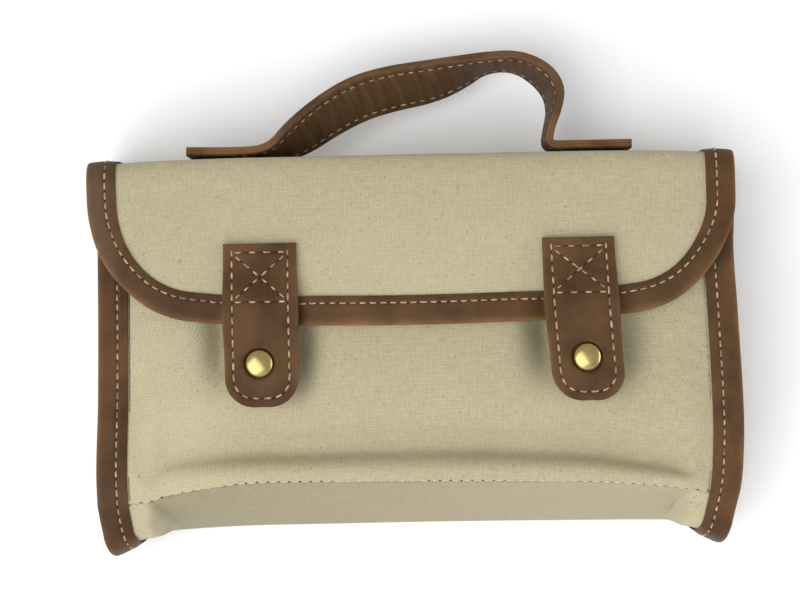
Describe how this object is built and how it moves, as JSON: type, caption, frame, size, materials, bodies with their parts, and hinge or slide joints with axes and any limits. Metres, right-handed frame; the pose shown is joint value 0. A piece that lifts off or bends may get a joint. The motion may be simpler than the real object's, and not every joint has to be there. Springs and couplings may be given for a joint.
{
  "type": "canvas flap pouch",
  "caption": "Flat beige canvas pouch with a fold-over flap, brown leather edge binding, stitched leather tabs on brass snaps and a leather carrying strap.",
  "frame": {"origin": "on the flat outer face of the back, halfway between the side seams", "axes": "+X across the pouch to the right as it is looked at, +Y from the base to the handle, +Z out of the back through the front"},
  "size_m": [0.2542, 0.2017, 0.0679],
  "materials": {
    "canvas": "beige woven cotton",
    "base_canvas": "greyer beige woven cotton",
    "leather": "brown, waxed, matt",
    "brass": "polished"
  },
  "bodies": {
    "root": {"front_panel": "canvas", "base_panel": "base_canvas", "back_flap_panel": "canvas", "flap_binding": "leather", "handle_strap": "leather", "side_panel_left": "canvas", "side_binding_left": "leather", "closure_tab_left": "leather", "snap_cap_left": "brass", "snap_stud_left": "brass", "side_panel_right": "canvas", "side_binding_right": "leather", "closure_tab_right": "leather", "snap_cap_right": "brass", "snap_stud_right": "brass"}
  },
  "joints": []
}
